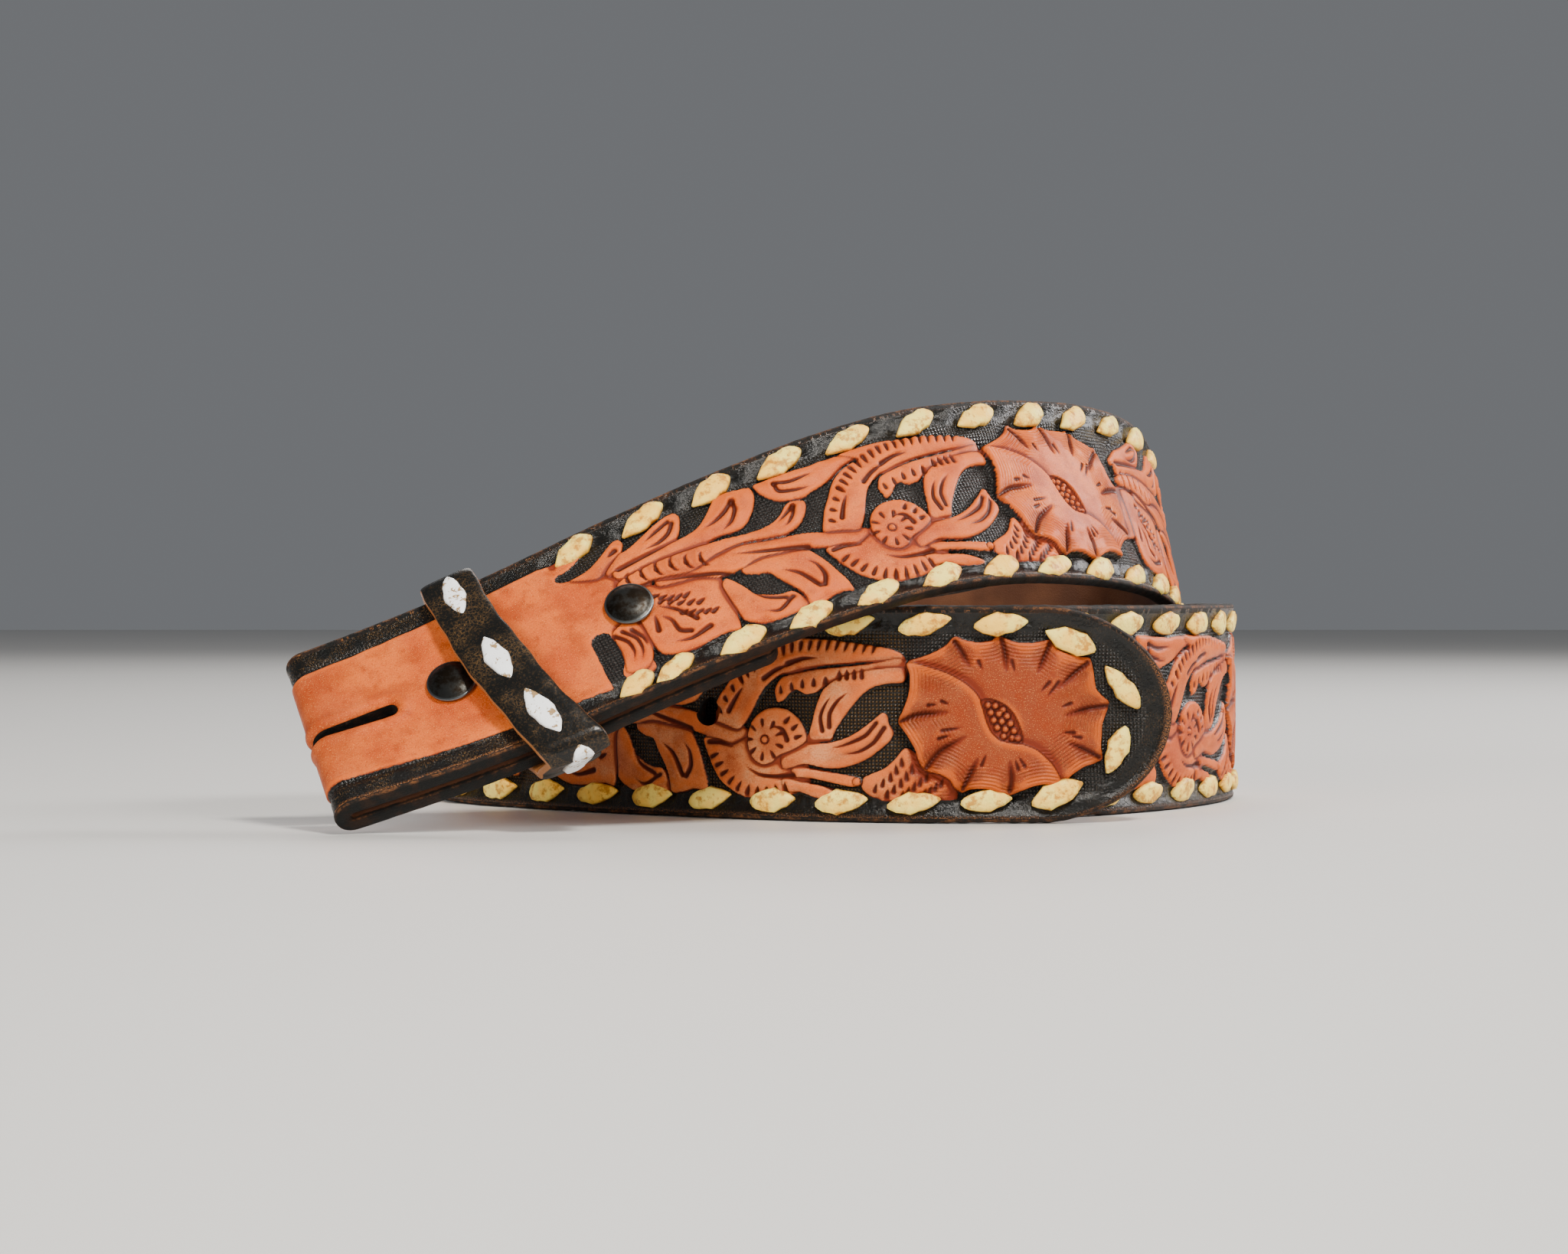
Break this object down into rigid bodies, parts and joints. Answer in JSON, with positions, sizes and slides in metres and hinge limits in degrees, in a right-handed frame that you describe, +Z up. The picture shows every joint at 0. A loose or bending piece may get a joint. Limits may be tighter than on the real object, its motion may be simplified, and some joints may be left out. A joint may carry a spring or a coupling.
{
  "type": "western tooled leather belt strap",
  "caption": "Coiled leather belt strap with floral tooling, laced edges, a folded buckle end closed by two snaps and a keeper, standing on its edge.",
  "frame": {"origin": "middle of the coil's box, on the table that the coil stands on", "axes": "+Z up out of the table, +Y away from the viewer, +X to the viewer's right along the coil"},
  "size_m": [0.1746, 0.157, 0.0755],
  "materials": {
    "tooled_leather": "tan vegetable-tanned leather, tooled and waxed, with black-dyed borders and ground",
    "dyed_leather": "black-dyed leather, waxed and cracked with wear",
    "lace": "flat cream rawhide lace, matt and soiled",
    "white_lace": "flat white lace, glossy and chipped",
    "snap_metal": "gunmetal-plated steel with brown tarnish"
  },
  "bodies": {
    "root": {"strap": "tooled_leather", "keeper": "dyed_leather", "snap_cap_1": "snap_metal", "snap_cap_2": "snap_metal", "snap_stud_1": "snap_metal", "snap_stud_2": "snap_metal"}
  },
  "joints": []
}
